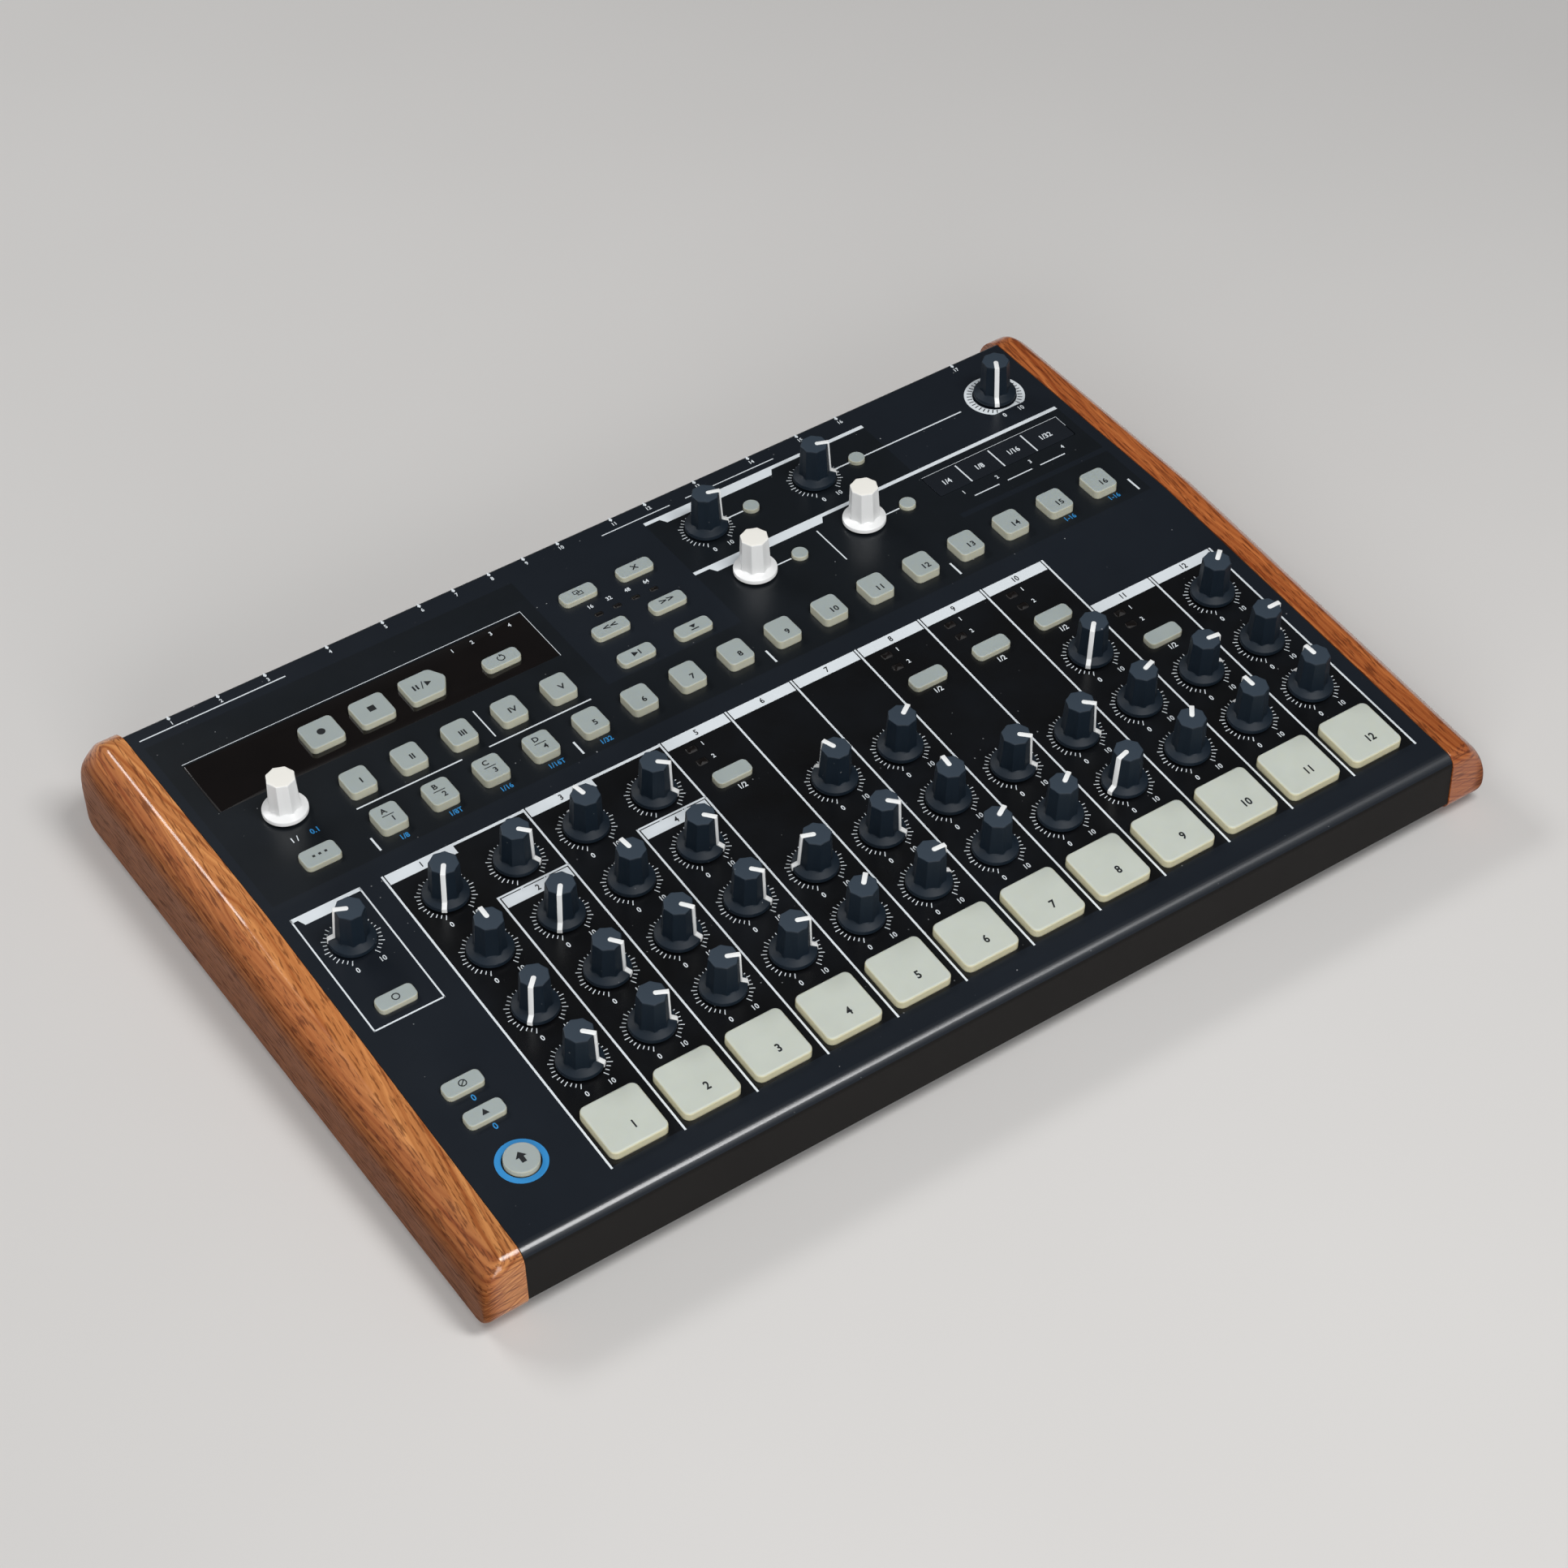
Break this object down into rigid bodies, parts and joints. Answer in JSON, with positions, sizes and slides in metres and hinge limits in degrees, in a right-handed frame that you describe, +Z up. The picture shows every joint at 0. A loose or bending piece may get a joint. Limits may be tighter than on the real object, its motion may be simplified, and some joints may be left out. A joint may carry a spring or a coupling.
{
  "type": "drum machine",
  "caption": "Table-top drum machine: sloping metal case between wooden cheeks, rotary controls over a row of drum pads, step and menu keys, display window, touch strip, rear sockets.",
  "frame": {"origin": "on the table, under the middle of the overall box", "axes": "+X to the player's right, +Y to the rear sockets, +Z up"},
  "size_m": [0.4906, 0.3336, 0.0707],
  "materials": {
    "case_paint": "satin",
    "cover_paint": "matte",
    "wood": "oiled",
    "foot_rubber": "matte",
    "screw_steel": "satin",
    "board": "satin",
    "component": "satin",
    "socket_plastic": "satin",
    "window_plastic": "polished",
    "strip_plastic": "polished",
    "pad_silicone": "matte",
    "key_silicone": "matte",
    "knob_plastic": "satin",
    "encoder_plastic": "polished",
    "rocker_plastic": "polished"
  },
  "bodies": {
    "case": {"top_panel": "case_paint", "bottom_cover": "cover_paint", "left_cheek": "wood", "right_cheek": "wood", "rubber_feet": "foot_rubber", "screws": "screw_steel", "circuit_boards": "board", "pots_and_switches": "component", "rear_sockets": "socket_plastic", "display_lenses": "window_plastic", "touch_strip": "strip_plastic"},
    "drum_pads": {"drum_pads": "pad_silicone"},
    "front_keys": {"front_keys": "key_silicone"},
    "step_keys": {"step_keys": "key_silicone"},
    "menu_keys": {"menu_keys": "key_silicone"},
    "metronome_knob": {"metronome_knob": "knob_plastic"},
    "kick1_level_knob": {"kick1_level_knob": "knob_plastic"},
    "kick1_pitch_knob": {"kick1_pitch_knob": "knob_plastic"},
    "kick1_decay_knob": {"kick1_decay_knob": "knob_plastic"},
    "kick1_impact_knob": {"kick1_impact_knob": "knob_plastic"},
    "kick2_level_knob": {"kick2_level_knob": "knob_plastic"},
    "kick2_pitch_knob": {"kick2_pitch_knob": "knob_plastic"},
    "kick2_decay_knob": {"kick2_decay_knob": "knob_plastic"},
    "kick1_sweep_knob": {"kick1_sweep_knob": "knob_plastic"},
    "snare_level_knob": {"snare_level_knob": "knob_plastic"},
    "snare_snap_level_knob": {"snare_snap_level_knob": "knob_plastic"},
    "snare_snap_decay_knob": {"snare_snap_decay_knob": "knob_plastic"},
    "snare_snap_tone_knob": {"snare_snap_tone_knob": "knob_plastic"},
    "clap_level_knob": {"clap_level_knob": "knob_plastic"},
    "clap_tone_knob": {"clap_tone_knob": "knob_plastic"},
    "clap_decay_knob": {"clap_decay_knob": "knob_plastic"},
    "snare_drum_tone_knob": {"snare_drum_tone_knob": "knob_plastic"},
    "rim_level_knob": {"rim_level_knob": "knob_plastic"},
    "rim_tone_knob": {"rim_tone_knob": "knob_plastic"},
    "closed_hat_level_knob": {"closed_hat_level_knob": "knob_plastic"},
    "closed_hat_pitch_knob": {"closed_hat_pitch_knob": "knob_plastic"},
    "closed_hat_decay_knob": {"closed_hat_decay_knob": "knob_plastic"},
    "open_hat_level_knob": {"open_hat_level_knob": "knob_plastic"},
    "open_hat_pitch_knob": {"open_hat_pitch_knob": "knob_plastic"},
    "open_hat_decay_knob": {"open_hat_decay_knob": "knob_plastic"},
    "high_tom_level_knob": {"high_tom_level_knob": "knob_plastic"},
    "high_tom_pitch_knob": {"high_tom_pitch_knob": "knob_plastic"},
    "low_tom_level_knob": {"low_tom_level_knob": "knob_plastic"},
    "low_tom_pitch_knob": {"low_tom_pitch_knob": "knob_plastic"},
    "cymbal_level_knob": {"cymbal_level_knob": "knob_plastic"},
    "cymbal_tone_knob": {"cymbal_tone_knob": "knob_plastic"},
    "cymbal_decay_knob": {"cymbal_decay_knob": "knob_plastic"},
    "shaker_level_knob": {"shaker_level_knob": "knob_plastic"},
    "shaker_decay_knob": {"shaker_decay_knob": "knob_plastic"},
    "zap_level_knob": {"zap_level_knob": "knob_plastic"},
    "zap_pitch_knob": {"zap_pitch_knob": "knob_plastic"},
    "zap_decay_knob": {"zap_decay_knob": "knob_plastic"},
    "filter_cutoff_knob": {"filter_cutoff_knob": "knob_plastic"},
    "filter_resonance_knob": {"filter_resonance_knob": "knob_plastic"},
    "master_volume_knob": {"master_volume_knob": "knob_plastic"},
    "tempo_encoder_knob": {"tempo_encoder_knob": "encoder_plastic"},
    "swing_encoder_knob": {"swing_encoder_knob": "encoder_plastic"},
    "randomness_encoder_knob": {"randomness_encoder_knob": "encoder_plastic"},
    "power_rocker": {"power_rocker": "rocker_plastic"},
    "phones_level_knob": {"phones_level_knob": "knob_plastic"}
  },
  "joints": [
    {"name": "drum_pad_press", "type": "slide", "parent": "case", "child": "drum_pads", "axis": [0, 0.0767, -0.9971], "range_m": [0, 0.0012], "stiffness_N_per_m": 2500, "springref_m": -0.002},
    {"name": "front_key_press", "type": "slide", "parent": "case", "child": "front_keys", "axis": [0, 0.0767, -0.9971], "range_m": [0, 0.001], "stiffness_N_per_m": 1500, "springref_m": -0.0015},
    {"name": "step_key_press", "type": "slide", "parent": "case", "child": "step_keys", "axis": [0, 0.0052, -1], "range_m": [0, 0.001], "stiffness_N_per_m": 1500, "springref_m": -0.0015},
    {"name": "menu_key_press", "type": "slide", "parent": "case", "child": "menu_keys", "axis": [0, 0.0052, -1], "range_m": [0, 0.001], "stiffness_N_per_m": 1500, "springref_m": -0.0015},
    {"name": "metronome_turn", "type": "hinge", "parent": "case", "child": "metronome_knob", "pos_m": [-0.2039, -0.00203, 0.04746], "axis": [0, -0.0767, 0.9971], "range_deg": [-215, 85]},
    {"name": "kick1_level_turn", "type": "hinge", "parent": "case", "child": "kick1_level_knob", "pos_m": [-0.1612, -0.10213, 0.03976], "axis": [0, -0.0767, 0.9971], "range_deg": [-15, 285]},
    {"name": "kick1_pitch_turn", "type": "hinge", "parent": "case", "child": "kick1_pitch_knob", "pos_m": [-0.1612, -0.06993, 0.04224], "axis": [0, -0.0767, 0.9971], "range_deg": [-285, 15]},
    {"name": "kick1_decay_turn", "type": "hinge", "parent": "case", "child": "kick1_decay_knob", "pos_m": [-0.1612, -0.03603, 0.04485], "axis": [0, -0.0767, 0.9971], "range_deg": [-150, 150]},
    {"name": "kick1_impact_turn", "type": "hinge", "parent": "case", "child": "kick1_impact_knob", "pos_m": [-0.1612, -0.00203, 0.04746], "axis": [0, -0.0767, 0.9971], "range_deg": [-296, 4]},
    {"name": "kick2_level_turn", "type": "hinge", "parent": "case", "child": "kick2_level_knob", "pos_m": [-0.1282, -0.10213, 0.03976], "axis": [0, -0.0767, 0.9971], "range_deg": [-35, 265]},
    {"name": "kick2_pitch_turn", "type": "hinge", "parent": "case", "child": "kick2_pitch_knob", "pos_m": [-0.1282, -0.06993, 0.04224], "axis": [0, -0.0767, 0.9971], "range_deg": [-10, 290]},
    {"name": "kick2_decay_turn", "type": "hinge", "parent": "case", "child": "kick2_decay_knob", "pos_m": [-0.1282, -0.03603, 0.04485], "axis": [0, -0.0767, 0.9971], "range_deg": [-294, 6]},
    {"name": "kick1_sweep_turn", "type": "hinge", "parent": "case", "child": "kick1_sweep_knob", "pos_m": [-0.1282, -0.00203, 0.04746], "axis": [0, -0.0767, 0.9971], "range_deg": [-15, 285]},
    {"name": "snare_level_turn", "type": "hinge", "parent": "case", "child": "snare_level_knob", "pos_m": [-0.0952, -0.10213, 0.03976], "axis": [0, -0.0767, 0.9971], "range_deg": [-38, 262]},
    {"name": "snare_snap_level_turn", "type": "hinge", "parent": "case", "child": "snare_snap_level_knob", "pos_m": [-0.0952, -0.06993, 0.04224], "axis": [0, -0.0767, 0.9971], "range_deg": [-9, 291]},
    {"name": "snare_snap_decay_turn", "type": "hinge", "parent": "case", "child": "snare_snap_decay_knob", "pos_m": [-0.0952, -0.03603, 0.04485], "axis": [0, -0.0767, 0.9971], "range_deg": [-157, 143]},
    {"name": "snare_snap_tone_turn", "type": "hinge", "parent": "case", "child": "snare_snap_tone_knob", "pos_m": [-0.0952, -0.00203, 0.04746], "axis": [0, -0.0767, 0.9971], "range_deg": [-162, 138]},
    {"name": "clap_level_turn", "type": "hinge", "parent": "case", "child": "clap_level_knob", "pos_m": [-0.0622, -0.10213, 0.03976], "axis": [0, -0.0767, 0.9971], "range_deg": [-40, 260]},
    {"name": "clap_tone_turn", "type": "hinge", "parent": "case", "child": "clap_tone_knob", "pos_m": [-0.0622, -0.06993, 0.04224], "axis": [0, -0.0767, 0.9971], "range_deg": [-14, 286]},
    {"name": "clap_decay_turn", "type": "hinge", "parent": "case", "child": "clap_decay_knob", "pos_m": [-0.0622, -0.03603, 0.04485], "axis": [0, -0.0767, 0.9971], "range_deg": [-13, 287]},
    {"name": "snare_drum_tone_turn", "type": "hinge", "parent": "case", "child": "snare_drum_tone_knob", "pos_m": [-0.0622, -0.00203, 0.04746], "axis": [0, -0.0767, 0.9971], "range_deg": [-20, 280]},
    {"name": "rim_level_turn", "type": "hinge", "parent": "case", "child": "rim_level_knob", "pos_m": [-0.0292, -0.10213, 0.03976], "axis": [0, -0.0767, 0.9971], "range_deg": [-107, 193]},
    {"name": "rim_tone_turn", "type": "hinge", "parent": "case", "child": "rim_tone_knob", "pos_m": [-0.0292, -0.06993, 0.04224], "axis": [0, -0.0767, 0.9971], "range_deg": [-220, 80]},
    {"name": "closed_hat_level_turn", "type": "hinge", "parent": "case", "child": "closed_hat_level_knob", "pos_m": [0.0038, -0.10213, 0.03976], "axis": [0, -0.0767, 0.9971], "range_deg": [-57, 243]},
    {"name": "closed_hat_pitch_turn", "type": "hinge", "parent": "case", "child": "closed_hat_pitch_knob", "pos_m": [0.0038, -0.06993, 0.04224], "axis": [0, -0.0767, 0.9971], "range_deg": [-15, 285]},
    {"name": "closed_hat_decay_turn", "type": "hinge", "parent": "case", "child": "closed_hat_decay_knob", "pos_m": [0.0038, -0.03603, 0.04485], "axis": [0, -0.0767, 0.9971], "range_deg": [-171, 129]},
    {"name": "open_hat_level_turn", "type": "hinge", "parent": "case", "child": "open_hat_level_knob", "pos_m": [0.0368, -0.10213, 0.03976], "axis": [0, -0.0767, 0.9971], "range_deg": [-91, 209]},
    {"name": "open_hat_pitch_turn", "type": "hinge", "parent": "case", "child": "open_hat_pitch_knob", "pos_m": [0.0368, -0.06993, 0.04224], "axis": [0, -0.0767, 0.9971], "range_deg": [-146, 154]},
    {"name": "open_hat_decay_turn", "type": "hinge", "parent": "case", "child": "open_hat_decay_knob", "pos_m": [0.0368, -0.03603, 0.04485], "axis": [0, -0.0767, 0.9971], "range_deg": [-94, 206]},
    {"name": "high_tom_level_turn", "type": "hinge", "parent": "case", "child": "high_tom_level_knob", "pos_m": [0.0698, -0.10213, 0.03976], "axis": [0, -0.0767, 0.9971], "range_deg": [-95, 205]},
    {"name": "high_tom_pitch_turn", "type": "hinge", "parent": "case", "child": "high_tom_pitch_knob", "pos_m": [0.0698, -0.06993, 0.04224], "axis": [0, -0.0767, 0.9971], "range_deg": [-17, 283]},
    {"name": "low_tom_level_turn", "type": "hinge", "parent": "case", "child": "low_tom_level_knob", "pos_m": [0.1028, -0.10213, 0.03976], "axis": [0, -0.0767, 0.9971], "range_deg": [-254, 46]},
    {"name": "low_tom_pitch_turn", "type": "hinge", "parent": "case", "child": "low_tom_pitch_knob", "pos_m": [0.1028, -0.06993, 0.04224], "axis": [0, -0.0767, 0.9971], "range_deg": [-18, 282]},
    {"name": "cymbal_level_turn", "type": "hinge", "parent": "case", "child": "cymbal_level_knob", "pos_m": [0.1358, -0.10213, 0.03976], "axis": [0, -0.0767, 0.9971], "range_deg": [-113, 187]},
    {"name": "cymbal_tone_turn", "type": "hinge", "parent": "case", "child": "cymbal_tone_knob", "pos_m": [0.1358, -0.06993, 0.04224], "axis": [0, -0.0767, 0.9971], "range_deg": [-79, 221]},
    {"name": "cymbal_decay_turn", "type": "hinge", "parent": "case", "child": "cymbal_decay_knob", "pos_m": [0.1358, -0.03603, 0.04485], "axis": [0, -0.0767, 0.9971], "range_deg": [-286, 14]},
    {"name": "shaker_level_turn", "type": "hinge", "parent": "case", "child": "shaker_level_knob", "pos_m": [0.1688, -0.10213, 0.03976], "axis": [0, -0.0767, 0.9971], "range_deg": [-152, 148]},
    {"name": "shaker_decay_turn", "type": "hinge", "parent": "case", "child": "shaker_decay_knob", "pos_m": [0.1688, -0.06993, 0.04224], "axis": [0, -0.0767, 0.9971], "range_deg": [-53, 247]},
    {"name": "zap_level_turn", "type": "hinge", "parent": "case", "child": "zap_level_knob", "pos_m": [0.2018, -0.10213, 0.03976], "axis": [0, -0.0767, 0.9971], "range_deg": [-153, 147]},
    {"name": "zap_pitch_turn", "type": "hinge", "parent": "case", "child": "zap_pitch_knob", "pos_m": [0.2018, -0.06993, 0.04224], "axis": [0, -0.0767, 0.9971], "range_deg": [-60, 240]},
    {"name": "zap_decay_turn", "type": "hinge", "parent": "case", "child": "zap_decay_knob", "pos_m": [0.2018, -0.03603, 0.04485], "axis": [0, -0.0767, 0.9971], "range_deg": [-100, 200]},
    {"name": "filter_cutoff_turn", "type": "hinge", "parent": "case", "child": "filter_cutoff_knob", "pos_m": [0.0451, 0.12229, 0.05023], "axis": [0, -0.0052, 1], "range_deg": [-42, 258]},
    {"name": "filter_resonance_turn", "type": "hinge", "parent": "case", "child": "filter_resonance_knob", "pos_m": [0.1027, 0.12229, 0.05023], "axis": [0, -0.0052, 1], "range_deg": [-38, 262]},
    {"name": "master_volume_turn", "type": "hinge", "parent": "case", "child": "master_volume_knob", "pos_m": [0.2029, 0.12309, 0.05023], "axis": [0, -0.0052, 1], "range_deg": [-300, 0]},
    {"name": "tempo_encoder_turn", "type": "hinge", "parent": "case", "child": "tempo_encoder_knob", "pos_m": [-0.1916, 0.07459, 0.04998], "axis": [0, -0.0052, 1], "continuous": true},
    {"name": "swing_encoder_turn", "type": "hinge", "parent": "case", "child": "swing_encoder_knob", "pos_m": [0.0465, 0.08589, 0.05004], "axis": [0, -0.0052, 1], "continuous": true},
    {"name": "randomness_encoder_turn", "type": "hinge", "parent": "case", "child": "randomness_encoder_knob", "pos_m": [0.1042, 0.08589, 0.05004], "axis": [0, -0.0052, 1], "continuous": true},
    {"name": "power_rocker_tip", "type": "hinge", "parent": "case", "child": "power_rocker", "pos_m": [0.1996, 0.15099, 0.025], "axis": [0, 0, 1], "range_deg": [0, 14]},
    {"name": "phones_level_turn", "type": "hinge", "parent": "case", "child": "phones_level_knob", "pos_m": [-0.1594, 0.15399, 0.025], "axis": [0, 1, 0], "range_deg": [-150, 150]}
  ]
}
